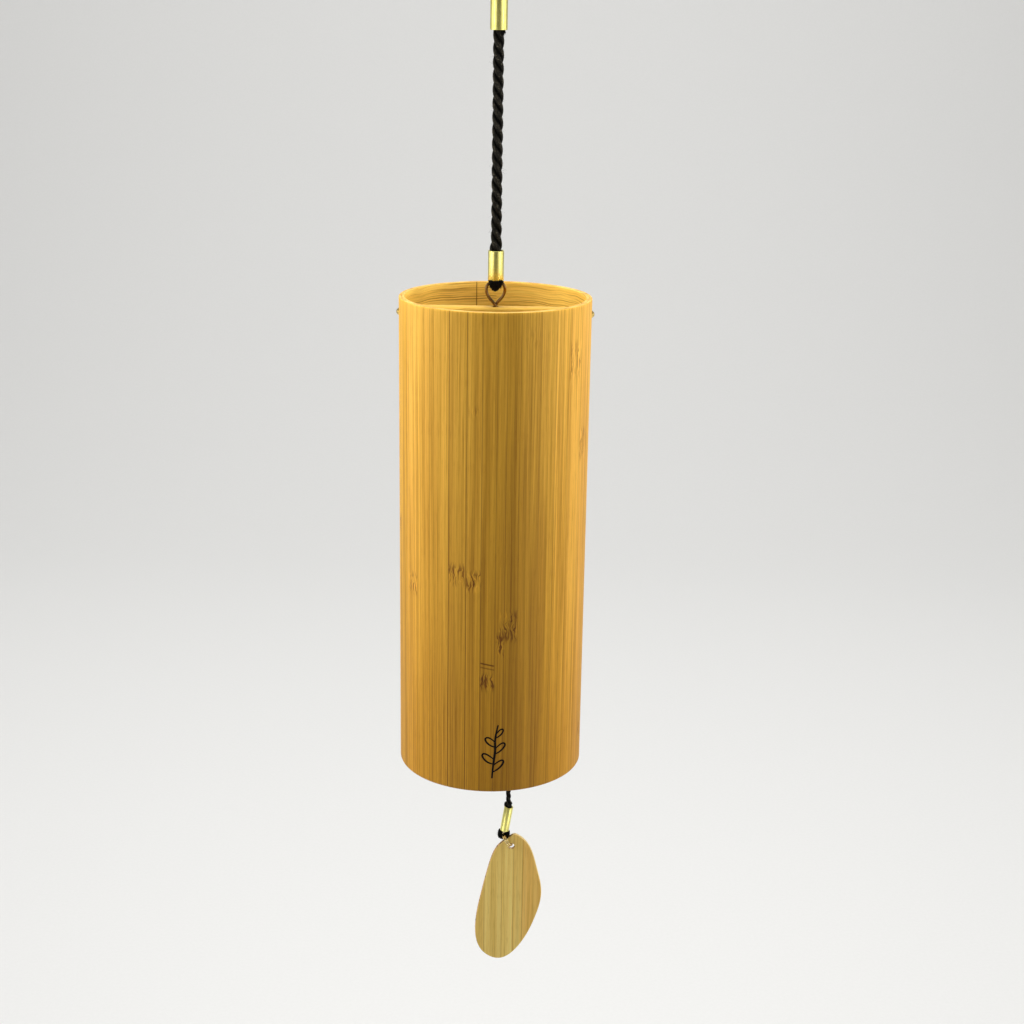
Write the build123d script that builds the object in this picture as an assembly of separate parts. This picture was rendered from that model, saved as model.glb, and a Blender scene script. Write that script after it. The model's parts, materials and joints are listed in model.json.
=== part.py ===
import math
import os
from dataclasses import dataclass

from build123d import *

# A tuned bamboo wind chime that hangs from a cord loop. Millimetres, +Z up, +X to the right
# and +Y to the back. The origin is where a hook bears, inside the top of the hanging loop.
# Heights are first given from the tube's rim, then moved down by rim_drop.

# Cords
cord_diameter = 3.6
thin_cord_diameter = 1.8

# Hanging loop and the upper ferrule, which closes it
loop_height = 35.0
loop_half_width = 9.6
loop_top_half_width = 5.0
loop_shoulder_drop = 8.0
loop_waist_height = 16.0
loop_leg_offset = 0.5
loop_leg_splay = 0.3
loop_leg_rise = 1.5
loop_leg_depth = 2.5
upper_ferrule_diameter = 5.5
upper_ferrule_bore = 4.7
upper_ferrule_length = 12.0
upper_ferrule_mouth = 83.9
upper_plug_shortfall = 2.2
# A plug stays this much inside the ferrule that grips it
grip_gap = 0.02
# How far the hanging cord goes down into the lower ferrule
cord_grip = 4.2
rim_drop = loop_height + upper_ferrule_length + upper_ferrule_mouth

# Bamboo tube: a vertical-grain outer ply glued on a cross-grain inner ply
tube_diameter = 63.5
tube_height = 163.5
outer_ply = 0.9
inner_ply = 1.0
glue_line = 0.05

# Crossbar that carries the tube, and its two nails
bar_depth_below_rim = 3.5
bar_width = 5.6
bar_height = 5.2
bar_edge_round = 1.3
bar_end_gap = 0.05
nail_depth_below_rim = 5.6
nail_shank_diameter = 1.2
nail_shank_length = 12.0
nail_head_diameter = 2.4
nail_head_height = 0.9
nail_hole_gap = 0.02

# Bent wire hanger: an eye above the bar, two legs through bar and plate, an eye below
wire_diameter = 1.0
wire_hole_diameter = 2.5
wire_leg_x = 0.3
wire_leg_y = 0.6
upper_eye_half_width = 2.95
upper_eye_top = 3.46
lower_eye_half_width = 2.8
lower_eye_bottom = -18.5
upper_eye_foot = 0.6
leg_below_bar_top = 0.5
leg_below_plate = 0.7
lower_eye_shoulder = 1.7
wire_end_out = 1.4
wire_end_drop = 0.6
neck_bend = 1.8
upper_eye_bend = 1.4
shoulder_bend = 0.9
shoulder_side_bend = 1.0
lower_eye_bend = 1.4
wire_end_bend = 0.6

# Tine plate and tuned steel tines
plate_diameter = 50.0
plate_thickness = 3.0
plate_gap = 0.1
tine_diameter = 3.0
tine_circle_radius = 21.5
first_tine_angle = 22.5
tine_pitches = [196.0, 392.0, 293.7, 587.3, 261.6, 523.3, 329.6, 659.3]
bar_wave_speed = 5.05e6
cantilever_constant = 3.516
fillet_foot_diameter = 5.4
fillet_toe_diameter = 3.5
fillet_height = 1.5

# Striker: a clear disc held between two knots
disc_depth_below_rim = 58.0
disc_diameter = 28.0
disc_thickness = 5.0
disc_hole_diameter = 2.2
disc_edge_round = 1.0
knot_diameter = 4.8
knot_gap = 0.05
knot_socket_diameter = 2.6
knot_socket_headroom = 0.3
sail_pivot_below_knot = 1.6

# The striker's cord leans to the right, and the small ferrule at its end leans back
chain_lean = 2.42
sail_ferrule_top_x = 7.03
sail_ferrule_top_z = -184.9

# Wind catcher: split ring and bamboo leaf. The ring hangs 30 degrees off the vertical.
leaf_hole_x = 8.06
leaf_hole_z = -200.45
leaf_hole_diameter = 2.5
leaf_thickness = 1.5
leaf_edge_round = 0.45
hole_to_ring_wire = 0.3
ring_mean_diameter = 5.15
ring_wire_diameter = 0.65
ring_pitch = 0.68
ring_turns = 2
ring_lean = 30.0


@dataclass
class LoopedEnd:
    """A cord's end: a bight round a wire, closed by a ferrule. Local origin: the wire's centre."""

    hole_radius: float
    strand_width: float
    strand_thickness: float
    mouth_height: float
    ferrule_diameter: float
    ferrule_bore: float
    ferrule_length: float
    plug_length: float
    collar_height: float = 0.45
    collar_overhang: float = 0.04
    end_gap: float = 0.05
    root: float = 0.2


eye_end = LoopedEnd(
    hole_radius=0.6,
    strand_width=3.6,
    strand_thickness=1.4,
    mouth_height=1.34,
    ferrule_diameter=5.2,
    ferrule_bore=4.4,
    ferrule_length=10.15,
    plug_length=4.5,
)
striker_end = LoopedEnd(
    hole_radius=0.62,
    strand_width=1.8,
    strand_thickness=0.85,
    mouth_height=1.3,
    ferrule_diameter=3.0,
    ferrule_bore=2.2,
    ferrule_length=9.7,
    plug_length=6.5,
)
sail_end = LoopedEnd(
    hole_radius=0.95,
    strand_width=1.8,
    strand_thickness=0.55,
    mouth_height=1.4,
    ferrule_diameter=3.2,
    ferrule_bore=2.4,
    ferrule_length=9.6,
    plug_length=6.5,
)

part = {}


def upright(radius, bottom, height, x=0.0, y=0.0):
    """A cylinder standing on the height bottom."""
    centre = Location((x, y, bottom + height / 2))
    return centre * Cylinder(radius, height)


def tube(outer_diameter, inner_diameter, bottom, height):
    """A plain pipe standing on the height bottom."""
    return upright(outer_diameter / 2, bottom, height) - upright(inner_diameter / 2, bottom, height)


def cord_along(points, radii, diameter):
    """A cord's tube along straight runs joined by tangent arcs."""
    route = FilletPolyline(*points, radius=radii)
    section = Plane(origin=route @ 0, z_dir=route % 0) * Circle(diameter / 2)
    return sweep(section, path=route)


def turn_angle(before, corner, after):
    """How far a route turns at a corner, in radians."""
    arriving = Vector(*corner) - Vector(*before)
    leaving = Vector(*after) - Vector(*corner)
    return math.radians(arriving.get_angle(leaving))


def corner_radii(points):
    """The widest arc that each corner's shorter run has room for."""
    radii = []
    for before, corner, after in zip(points, points[1:], points[2:]):
        arriving = (Vector(*corner) - Vector(*before)).length
        leaving = (Vector(*after) - Vector(*corner)).length
        half_turn = turn_angle(before, corner, after) / 2
        radii.append(0.45 * min(arriving, leaving) / math.tan(half_turn))
    return radii


def hanging_run(top, bottom, diameter, round_top, round_bottom):
    """A taut cord from the local height top down to bottom, with round or square ends."""
    run = upright(diameter / 2, bottom, top - bottom)
    if round_top:
        run += Location((0, 0, top)) * Sphere(diameter / 2)
    if round_bottom:
        run += Location((0, 0, bottom)) * Sphere(diameter / 2)
    return run


def bight(end):
    """The flattened strand round the wire, with the plug that the ferrule grips."""
    middle = end.hole_radius + end.strand_thickness / 2
    seat = end.mouth_height - end.end_gap
    neck = seat - end.collar_height
    path = (
        Line((0, -middle, neck + end.root), (0, -middle, 0))
        + ThreePointArc((0, -middle, 0), (0, 0, -middle), (0, middle, 0))
        + Line((0, middle, 0), (0, middle, neck + end.root))
    )
    start = Plane(origin=path @ 0, x_dir=(1, 0, 0), z_dir=(0, 0, -1))
    strand = sweep(start * Ellipse(end.strand_width / 2, end.strand_thickness / 2), path=path)
    collar_radius = middle + end.strand_thickness / 2 + end.collar_overhang
    collar = upright(collar_radius, neck, end.collar_height)
    plug = upright(end.ferrule_bore / 2 - grip_gap, seat - end.root, end.plug_length)
    return strand + collar + plug


def ferrule(end):
    """The crimped brass tube above a bight."""
    return tube(end.ferrule_diameter, end.ferrule_bore, end.mouth_height, end.ferrule_length)


def hanging_loop():
    """The loop over the hook. Both legs run into one plug inside the upper ferrule."""
    ferrule_top = -loop_height
    top = cord_diameter / 2
    left = [
        (-loop_top_half_width, 0, top),
        (-loop_half_width, 0, top - loop_shoulder_drop),
        (-loop_half_width, 0, ferrule_top + loop_waist_height),
        (-loop_leg_offset - loop_leg_splay, 0, ferrule_top + loop_leg_rise),
        (-loop_leg_offset, 0, ferrule_top - loop_leg_depth),
    ]
    right = [(-x, y, z) for x, y, z in reversed(left)]
    radii = corner_radii(right + left)[1 - len(left) :]
    print("hanging loop bend radii", [round(r, 1) for r in radii], "cord", cord_diameter)
    plug_bottom = ferrule_top - upper_ferrule_length + upper_plug_shortfall
    inside = upright(upper_ferrule_diameter, plug_bottom, ferrule_top - plug_bottom)
    left_half = cord_along([(0, 0, top)] + left, radii, cord_diameter) - inside
    plug_radius = upper_ferrule_bore / 2 - grip_gap
    plug = upright(plug_radius, plug_bottom, ferrule_top - plug_bottom)
    return left_half + mirror(left_half, Plane.YZ) + plug


def wire_hanger():
    """One wire: back leg up, round the upper eye, front leg down, round the lower eye."""
    leg_top = leg_below_bar_top - bar_depth_below_rim
    leg_end = plate_top - plate_thickness - leg_below_plate
    shoulder = leg_end - lower_eye_shoulder
    points = [
        (wire_leg_x, wire_leg_y, leg_end),
        (wire_leg_x, wire_leg_y, leg_top),
        (upper_eye_half_width, wire_leg_y / 2, upper_eye_foot),
        (upper_eye_half_width, 0, upper_eye_top),
        (-upper_eye_half_width, 0, upper_eye_top),
        (-upper_eye_half_width, -wire_leg_y / 2, upper_eye_foot),
        (-wire_leg_x, -wire_leg_y, leg_top),
        (-wire_leg_x, -wire_leg_y, leg_end),
        (-lower_eye_half_width, -wire_leg_y / 2, shoulder),
        (-lower_eye_half_width, 0, lower_eye_bottom),
        (lower_eye_half_width, 0, lower_eye_bottom),
        (lower_eye_half_width, wire_leg_y / 2, shoulder),
        (wire_leg_x + wire_end_out, wire_leg_y, leg_end - wire_end_drop),
    ]
    upper_radii = [neck_bend] * 2 + [upper_eye_bend] * 2 + [neck_bend] * 2
    lower_radii = [shoulder_bend, shoulder_side_bend] + [lower_eye_bend] * 2 + [wire_end_bend]
    radii = upper_radii + lower_radii
    return cord_along(points, radii, wire_diameter)


def crossbar():
    """A flat bamboo bar across the tube, drilled for the wire and for the nails."""
    inner_radius = tube_diameter / 2 - outer_ply - glue_line - inner_ply
    bottom = -bar_depth_below_rim - bar_height
    blank = Location((0, 0, bottom + bar_height / 2)) * Box(tube_diameter, bar_width, bar_height)
    blank = fillet(blank.edges().filter_by(Axis.X), bar_edge_round)
    bar = blank & upright(inner_radius - bar_end_gap, bottom, bar_height)
    bar -= upright(wire_hole_diameter / 2, bottom, bar_height)
    return bar - nail_holes()


def nail_holes():
    """The bores of the two side nails."""
    reach = tube_diameter / 2 - nail_shank_length
    radius = nail_shank_diameter / 2 + nail_hole_gap
    length = nail_shank_length + 1.0
    holes = Part()
    for side in (-1, 1):
        centre = (side * (reach - nail_hole_gap + length / 2), 0, -nail_depth_below_rim)
        holes += Location(centre, (0, 90, 0)) * Cylinder(radius, length)
    return holes


def side_nails():
    """Two domed brass nails, one at each end of the crossbar."""
    nails = []
    base = tube_diameter / 2
    head_radius = nail_head_diameter / 2
    dome_radius = (head_radius**2 + nail_head_height**2) / (2 * nail_head_height)
    for side in (-1, 1):
        centre = Location((0, 0, -nail_depth_below_rim), (0, 90 * side, 0))
        shank = upright(nail_shank_diameter / 2, base - nail_shank_length, nail_shank_length)
        ball = Location((0, 0, base + nail_head_height - dome_radius)) * Sphere(dome_radius)
        head = ball & upright(head_radius, base, nail_head_height)
        nails.append(centre * (shank + head))
    return Compound(nails)


def tine_places():
    """The centre of each tine on the plate."""
    places = []
    for number in range(len(tine_pitches)):
        angle = math.radians(first_tine_angle + number * 360 / len(tine_pitches))
        places.append((tine_circle_radius * math.cos(angle), tine_circle_radius * math.sin(angle)))
    return places


def tine_length(pitch):
    """The free length at which a steel rod, fixed at one end, sounds the pitch in hertz."""
    shape = cantilever_constant / (2 * math.pi) * tine_diameter / 4
    return math.sqrt(shape * bar_wave_speed / pitch)


def tine_plate():
    """The round steel plate that the tines are brazed into."""
    bottom = plate_top - plate_thickness
    plate = upright(plate_diameter / 2, bottom, plate_thickness)
    plate -= upright(wire_hole_diameter / 2, bottom, plate_thickness)
    for x, y in tine_places():
        plate -= upright(tine_diameter / 2, bottom, plate_thickness, x, y)
    return plate


def braze_fillets():
    """The cone of braze round each tine where it leaves the plate."""
    cones = []
    bottom = plate_top - plate_thickness - fillet_height
    for x, y in tine_places():
        centre = Location((x, y, bottom + fillet_height / 2))
        cone = centre * Cone(fillet_toe_diameter / 2, fillet_foot_diameter / 2, fillet_height)
        cones.append(cone - upright(tine_diameter / 2, bottom, fillet_height, x, y))
    return Compound(cones)


def knots():
    """The knots above and below the disc. The lower one has a socket for the sail's cord."""
    radius = knot_diameter / 2
    bore = upright(thin_cord_diameter / 2, lower_knot, upper_knot - lower_knot + knot_diameter)
    socket_top = sail_pivot + thin_cord_diameter / 2 + knot_socket_headroom
    socket = upright(knot_socket_diameter / 2, lower_knot - radius, socket_top - lower_knot + radius)
    above = Location((0, 0, upper_knot)) * Sphere(radius)
    below = Location((0, 0, lower_knot)) * Sphere(radius)
    return Compound([above - bore, below - bore - socket])


def striker_disc():
    """The clear disc that strikes the tines."""
    disc = upright(disc_diameter / 2, disc_centre - disc_thickness / 2, disc_thickness)
    disc = fillet(disc.edges().filter_by(GeomType.CIRCLE), disc_edge_round)
    return disc - upright(disc_hole_diameter / 2, disc_centre - disc_thickness, 2 * disc_thickness)


def leaf():
    """The wind catcher, drawn round its hole as a closed curve and rounded at its edges."""
    outline = Spline(
        (2.0, 4.55),
        (5.1, 2.2),
        (9.5, -8.7),
        (11.35, -18.6),
        (9.1, -29.2),
        (3.3, -40.9),
        (-4.1, -46.3),
        (-9.6, -43.9),
        (-12.8, -33.3),
        (-11.1, -21.0),
        (-8.1, -8.0),
        (-4.6, 0.3),
        (-1.4, 3.2),
        periodic=True,
    )
    blank = extrude(make_face(outline), leaf_thickness / 2, both=True)
    blank = fillet(blank.edges(), leaf_edge_round)
    blank -= Cylinder(leaf_hole_diameter / 2, 2 * leaf_thickness)
    return Location((leaf_hole_x, 0, leaf_hole_z), (90, 0, 0)) * blank


def split_ring():
    """Two turns of wire, seen edge-on from the front. Local origin: the ring's centre."""
    height = ring_turns * ring_pitch
    coil = Helix(ring_pitch, height, ring_mean_diameter / 2, center=(0, 0, -height / 2))
    section = Plane(origin=coil @ 0, z_dir=coil % 0) * Circle(ring_wire_diameter / 2)
    return sweep(section, path=coil, is_frenet=True)


# Heights down the tube, from the rim
plate_top = -bar_depth_below_rim - bar_height - plate_gap
striker_mouth = -striker_end.mouth_height - striker_end.ferrule_length
disc_centre = -lower_eye_bottom - disc_depth_below_rim
upper_knot = disc_centre + disc_thickness / 2 + knot_diameter / 2 + knot_gap
lower_knot = disc_centre - disc_thickness / 2 - knot_diameter / 2 - knot_gap
sail_pivot = lower_knot - sail_pivot_below_knot
chain_length = math.hypot(sail_ferrule_top_x, sail_ferrule_top_z - lower_eye_bottom)

# The ring's lower wire lies in the leaf's hole, and its upper wire in the sail cord's bight
ring_way = Vector(-math.sin(math.radians(ring_lean)), 0, math.cos(math.radians(ring_lean)))
ring_bottom = Vector(leaf_hole_x, 0, leaf_hole_z) + ring_way * hole_to_ring_wire
ring_top = ring_bottom + ring_way * ring_mean_diameter
ferrule_lean = math.degrees(
    math.atan2(sail_ferrule_top_x - ring_top.X, sail_ferrule_top_z - ring_top.Z)
)

# Places of the leaning pieces, from the rim
upper_wire = Location((0, 0, upper_eye_top))
lower_wire = Location((0, 0, lower_eye_bottom), (0, -chain_lean, 0))
sail_wire = Location(tuple(ring_top), (0, ferrule_lean, 0)) * Location((0, 0, 0), (0, 0, 90))
ring_middle = Location(tuple((ring_top + ring_bottom) / 2), (0, 90 - ring_lean, 0))
ring_place = ring_middle * Location((0, 0, 0), (0, 0, 90))
turned_over = Location((0, 0, 0), (180, 0, 0))

# Hanger and hanging cord
part["hanging_loop"] = hanging_loop()
part["upper_ferrule"] = tube(
    upper_ferrule_diameter,
    upper_ferrule_bore,
    -loop_height - upper_ferrule_length,
    upper_ferrule_length,
)
cord_top = -loop_height - upper_ferrule_length
eye_ferrule_top = upper_eye_top + eye_end.mouth_height + eye_end.ferrule_length
cord_bottom = eye_ferrule_top - cord_grip - rim_drop
part["hanging_cord"] = hanging_run(cord_top, cord_bottom, cord_diameter, True, False)

# Everything from here down is first built from the rim
from_rim = {}
from_rim["eye_ferrule"] = upper_wire * ferrule(eye_end)
from_rim["eye_cord_loop"] = upper_wire * bight(eye_end)
from_rim["hanger_wire"] = wire_hanger()
from_rim["crossbar"] = crossbar()
core_diameter = tube_diameter - 2 * outer_ply
lining_diameter = core_diameter - 2 * glue_line
from_rim["outer_ply"] = tube(tube_diameter, core_diameter, -tube_height, tube_height) - nail_holes()
lining = tube(lining_diameter, lining_diameter - 2 * inner_ply, -tube_height, tube_height)
from_rim["inner_ply"] = lining - nail_holes()
from_rim["side_nails"] = side_nails()
from_rim["tine_plate"] = tine_plate()
from_rim["braze_fillets"] = braze_fillets()
for number, (place, pitch) in enumerate(zip(tine_places(), tine_pitches), start=1):
    free = tine_length(pitch)
    bottom = plate_top - plate_thickness - free
    from_rim[f"tine_{number}"] = upright(tine_diameter / 2, bottom, free + plate_thickness, *place)
from_rim["striker_cord_loop"] = lower_wire * turned_over * bight(striker_end)
from_rim["striker_ferrule"] = lower_wire * turned_over * ferrule(striker_end)
from_rim["striker_cord"] = lower_wire * hanging_run(
    striker_mouth, lower_knot, thin_cord_diameter, True, False
)
from_rim["striker_disc"] = lower_wire * striker_disc()
from_rim["striker_knots"] = lower_wire * knots()
from_rim["sail_cord"] = lower_wire * hanging_run(
    sail_pivot, -chain_length, thin_cord_diameter, True, True
)
from_rim["sail_ferrule"] = sail_wire * ferrule(sail_end)
from_rim["sail_cord_loop"] = sail_wire * bight(sail_end)
from_rim["split_ring"] = ring_place * split_ring()
from_rim["leaf"] = leaf()
for name, shape in from_rim.items():
    part[name] = Location((0, 0, -rim_drop)) * shape

os.makedirs("parts", exist_ok=True)
for name, shape in part.items():
    export_step(shape, f"parts/{name}.step")

print("rim at", -rim_drop, "tube bottom at", -rim_drop - tube_height)
print("ferrule lean", round(ferrule_lean, 2), "ring top", ring_top, "ring bottom", ring_bottom)
print("chain length", round(chain_length, 2), "sail pivot", round(sail_pivot, 2))
hanging_length = cord_top - (eye_ferrule_top - rim_drop)
print("hanging cord between its ferrules", round(hanging_length, 2))
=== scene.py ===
"""A tuned bamboo wind chime, dressed around its CAD frame. Metres, +Z up, front at -Y."""

import bisect
import json
import random
from math import cos, pi, radians, sin, sqrt

import bpy
from mathutils import Matrix, Vector


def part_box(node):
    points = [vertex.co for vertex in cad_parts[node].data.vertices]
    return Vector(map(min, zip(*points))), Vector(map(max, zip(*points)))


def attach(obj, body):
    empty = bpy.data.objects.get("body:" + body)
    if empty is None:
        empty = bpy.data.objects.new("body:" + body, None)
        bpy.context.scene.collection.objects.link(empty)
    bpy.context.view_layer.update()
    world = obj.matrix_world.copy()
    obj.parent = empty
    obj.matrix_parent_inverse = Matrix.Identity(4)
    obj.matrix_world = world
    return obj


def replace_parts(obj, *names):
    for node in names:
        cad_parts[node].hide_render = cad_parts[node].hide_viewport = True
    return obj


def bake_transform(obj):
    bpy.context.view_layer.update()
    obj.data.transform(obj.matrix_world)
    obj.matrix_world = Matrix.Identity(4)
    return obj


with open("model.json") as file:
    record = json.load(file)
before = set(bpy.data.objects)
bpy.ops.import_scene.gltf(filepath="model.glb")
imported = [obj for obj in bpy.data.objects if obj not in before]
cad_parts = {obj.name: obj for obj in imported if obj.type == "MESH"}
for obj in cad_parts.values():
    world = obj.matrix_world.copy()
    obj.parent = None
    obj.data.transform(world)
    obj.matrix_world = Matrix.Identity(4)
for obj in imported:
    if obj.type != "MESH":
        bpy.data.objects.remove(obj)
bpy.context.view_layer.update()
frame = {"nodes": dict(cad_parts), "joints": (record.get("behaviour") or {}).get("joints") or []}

MM = 0.001
UP = Vector((0, 0, 1))
SIDE = Vector((0, 1, 0))  # every cord's route lies in the plane across this
pivot = {joint["name"]: Vector(joint["pos_m"]) for joint in frame["joints"]}
tube_low, tube_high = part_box("outer_ply")
rim_z = tube_high.z
tube_radius = tube_high.x
tube_height = tube_high.z - tube_low.z



def add_object(name, data):
    made = bpy.data.objects.new(name, data)
    bpy.context.scene.collection.objects.link(made)
    return made


# Camera

CAMERA_FROM_RIM = Vector((6.5, -543.9, 90.5)) * MM
CAMERA_PITCH = 16.83
CAMERA_ROLL = 0.9
LENS_MM = 58.55


def add_camera():
    """The camera looks along +Y and down at the rim."""
    camera = add_object("camera", bpy.data.cameras.new("camera"))
    camera.data.sensor_width = 36
    camera.data.lens = LENS_MM
    camera.data.clip_start, camera.data.clip_end = 0.01, 50
    tilt = Matrix.Rotation(radians(90 - CAMERA_PITCH), 4, "X")
    roll = Matrix.Rotation(radians(CAMERA_ROLL), 4, "Z")
    place = Matrix.Translation(CAMERA_FROM_RIM + Vector((0, 0, rim_z)))
    camera.matrix_world = place @ tilt @ roll
    bpy.context.scene.camera = camera


add_camera()

# Mesh helpers


class Shell:
    """Vertices, faces and grain coordinates, gathered before a piece's mesh is made."""

    def __init__(self):
        self.verts, self.faces, self.grain, self.slots = [], [], [], []
        self.seam, self.knot, self.tone = [], [], []

    def add_face(self, corners, grain, slot=0, tone=0.0):
        self.faces.append(corners)
        self.grain.extend(grain)
        self.slots.append(slot)
        self.tone.append(tone)

    def add_tube(self, rings, length_step, round_step=1.0, tones=None):
        """Joins rings of points into a closed tube. Grain coordinates are (round, along)."""
        first, sides = len(self.verts), len(rings[0])
        last = first + (len(rings) - 1) * sides
        for ring in rings:
            self.verts.extend(ring)
        for i in range(len(rings) - 1):
            low, high = first + i * sides, first + (i + 1) * sides
            v, w = i * length_step, (i + 1) * length_step
            for j in range(sides):
                k = (j + 1) % sides
                u, x = j * round_step, (j + 1) * round_step
                corners = (low + j, low + k, high + k, high + j)
                tone = tones[j] if tones else 0.0
                self.add_face(corners, [(u, v), (x, v), (x, w), (u, w)], 0, tone)
        flat = [(0, 0)] * sides
        self.add_face(tuple(reversed(range(first, first + sides))), flat)
        self.add_face(tuple(range(last, last + sides)), flat)


def make(name, shell, materials, body=None):
    """A mesh object from a shell. It rides on the body, if one is named."""
    mesh = bpy.data.meshes.new(name)
    mesh.from_pydata([tuple(v) for v in shell.verts], [], shell.faces)
    for material in materials:
        mesh.materials.append(material)
    layer = mesh.uv_layers.new(name="Grain")
    layer.data.foreach_set("uv", [x for pair in shell.grain for x in pair])
    mesh.polygons.foreach_set("material_index", shell.slots)
    mesh.polygons.foreach_set("use_smooth", [True] * len(shell.faces))
    for key, values in (("seam", shell.seam), ("knot", shell.knot)):
        if values:
            mesh.attributes.new(key, "FLOAT", "POINT").data.foreach_set("value", values)
    if any(shell.tone):
        mesh.attributes.new("tone", "FLOAT", "FACE").data.foreach_set("value", shell.tone)
    mesh.update()
    made = add_object(name, mesh)
    if body:
        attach(made, body)
    return made


def soften(piece, width):
    """Rounds the sharp edges of a CAD node."""
    weld = piece.modifiers.new("weld", "WELD")
    weld.merge_threshold = 1e-6
    bevel = piece.modifiers.new("bevel", "BEVEL")
    bevel.width = width
    bevel.segments = 3
    bevel.limit_method = "ANGLE"
    bevel.angle_limit = radians(35)
    piece.modifiers.new("normals", "WEIGHTED_NORMAL")


class Line:
    """A cord's smooth centreline, measured along its length."""

    def __init__(self, name, points):
        data = bpy.data.curves.new(name, "CURVE")
        data.dimensions = "3D"
        data.resolution_u = 24
        spline = data.splines.new("NURBS")
        spline.points.add(len(points) - 1)
        for control, point in zip(spline.points, points):
            control.co = (*point, 1)
        spline.order_u = 3
        spline.use_endpoint_u = True
        carrier = bpy.data.objects.new(name, data)
        mesh = bpy.data.meshes.new_from_object(carrier)
        self.points = [v.co.copy() for v in mesh.vertices]
        bpy.data.meshes.remove(mesh)
        bpy.data.objects.remove(carrier)
        bpy.data.curves.remove(data)
        self.reach = [0.0]
        for a, b in zip(self.points, self.points[1:]):
            self.reach.append(self.reach[-1] + (b - a).length)
        self.length = self.reach[-1]

    def at(self, s):
        i = min(max(bisect.bisect(self.reach, s) - 1, 0), len(self.points) - 2)
        span = self.reach[i + 1] - self.reach[i]
        return self.points[i].lerp(self.points[i + 1], (s - self.reach[i]) / span)

    def way(self, s, step=0.4 * MM):
        return (self.at(s + step) - self.at(s - step)).normalized()


def circle(centre, first, second, radius, sides):
    """A ring of points round a centre. first and second are the directions across it."""
    angles = [2 * pi * j / sides for j in range(sides)]
    return [centre + (first * cos(a) + second * sin(a)) * radius for a in angles]


def smoothstep(low, high, x):
    t = min(max((x - low) / (high - low), 0.0), 1.0)
    return t * t * (3 - 2 * t)


# Materials


class Paint:
    """A procedural material. Each method adds nodes and returns an output socket."""

    def __init__(self, name, **sockets):
        self.material = bpy.data.materials.new(name)
        self.material.use_nodes = True
        self.tree = self.material.node_tree
        self.shader = self.tree.nodes["Principled BSDF"]
        for key, value in sockets.items():
            self.put(self.shader.inputs[key.replace("_", " ")], value)

    def put(self, socket, value):
        if isinstance(value, bpy.types.NodeSocket):
            self.tree.links.new(value, socket)
        elif hasattr(value, "__len__") and len(value) == 3 and socket.type == "RGBA":
            socket.default_value = (*value, 1)
        else:
            socket.default_value = value

    def node(self, kind, inputs, output=0, **settings):
        made = self.tree.nodes.new("ShaderNode" + kind)
        for key, value in settings.items():
            setattr(made, key, value)
        for key, value in inputs.items():
            self.put(made.inputs[key], value)
        return made.outputs[output]

    def calc(self, operation, a, b=0.0):
        return self.node("Math", {0: a, 1: b}, operation=operation)

    def plus(self, a, b):
        return self.calc("ADD", a, b)

    def minus(self, a, b):
        return self.calc("SUBTRACT", a, b)

    def times(self, a, b):
        return self.calc("MULTIPLY", a, b)

    def over(self, a, b):
        return self.calc("DIVIDE", a, b)

    def mean(self, a, b):
        return self.plus(self.times(a, 0.5), self.times(b, 0.5))

    def blend(self, factor, a, b, mode="MIX"):
        inputs = {0: factor, 6: a, 7: b}
        return self.node("Mix", inputs, output=2, data_type="RGBA", blend_type=mode)

    def stain(self, factor, colour, tint):
        """Multiplies a colour by a tint, as far as the factor says."""
        return self.blend(factor, colour, tint, "MULTIPLY")

    def remap(self, value, low, high, to_low=0.0, to_high=1.0):
        inputs = {"Value": value, 1: low, 2: high, 3: to_low, 4: to_high}
        return self.node("MapRange", inputs)

    def ramp(self, value, stops):
        out = self.node("ValToRGB", {0: value})
        elements = out.node.color_ramp.elements
        while len(elements) < len(stops):
            elements.new(0.5)
        for element, (place, colour) in zip(elements, stops):
            element.position = place
            element.color = (*colour, 1)
        return out

    def noise(self, vector, scale, detail=3.0, rough=0.55, warp=0.0):
        inputs = {"Vector": vector, "Scale": scale, "Detail": detail}
        inputs.update({"Roughness": rough, "Distortion": warp})
        return self.node("TexNoise", inputs)

    def grain(self):
        """The (round, along) coordinates that the mesh code lays down, as separate sockets."""
        uv = self.node("UVMap", {}, uv_map="Grain")
        split = self.node("SeparateXYZ", {0: uv}).node
        return split.outputs[0], split.outputs[1]

    def spot(self):
        """Places on the object in metres."""
        return self.node("TexCoord", {}, output=3)

    def place_mm(self):
        """Places on the object in millimetres, as separate sockets."""
        split = self.node("SeparateXYZ", {0: self.spot()}).node
        return [self.times(part, 1000.0) for part in split.outputs]

    def join(self, x, y, z=0.0):
        return self.node("CombineXYZ", {0: x, 1: y, 2: z})

    def stored(self, name):
        return self.node("Attribute", {}, output=2, attribute_name=name)

    def base(self, colour):
        self.put(self.shader.inputs["Base Color"], colour)

    def rough(self, value):
        self.put(self.shader.inputs["Roughness"], value)

    def finish(self, colour, height, strength, distance):
        """Sets the colour and the relief, and returns the material."""
        self.base(colour)
        inputs = {"Height": height, "Strength": strength, "Distance": distance}
        self.put(self.shader.inputs["Normal"], self.node("Bump", inputs))
        return self.material


def fibres(paint, across, along, width_mm, length_mm, rough=0.6, detail=3.0, warp=0.0):
    """Streaks of one fibre width: across and along are in millimetres."""
    spot = paint.join(paint.over(across, width_mm), paint.over(along, length_mm))
    return paint.noise(spot, 1.0, detail, rough, warp)


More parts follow.
